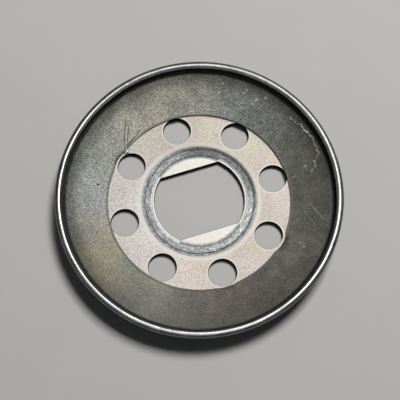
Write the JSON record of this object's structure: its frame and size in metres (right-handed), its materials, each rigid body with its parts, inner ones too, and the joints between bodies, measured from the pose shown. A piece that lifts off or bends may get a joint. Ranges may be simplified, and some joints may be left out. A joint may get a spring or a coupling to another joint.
{
  "type": "flywheel disc",
  "caption": "Pressed-steel flywheel disc: a shallow dish with a rolled bead rim, a flat centre plate pierced by round holes, and a double-D bore inside a seated washer ring.",
  "frame": {"origin": "middle of the centre plate's underside, on the axis of rotation", "axes": "+Z along the axis of rotation towards the open side of the dish; +X along the two flats of the bore; +Y completes the right-handed frame"},
  "size_m": [0.1, 0.1, 0.0109],
  "materials": {
    "dish_steel": "dull olive-grey steel with handling wear; the curled rim is worn bright",
    "wire_steel": "plain drawn wire, hidden inside the curl",
    "plate_steel": "matte, finely speckled, slightly pinkish",
    "washer_steel": "blue-grey with concentric scuffs"
  },
  "bodies": {
    "root": {"pressed_dish": "dish_steel", "rim_wire": "wire_steel", "centre_plate": "plate_steel", "bore_washer": "washer_steel"}
  },
  "joints": []
}
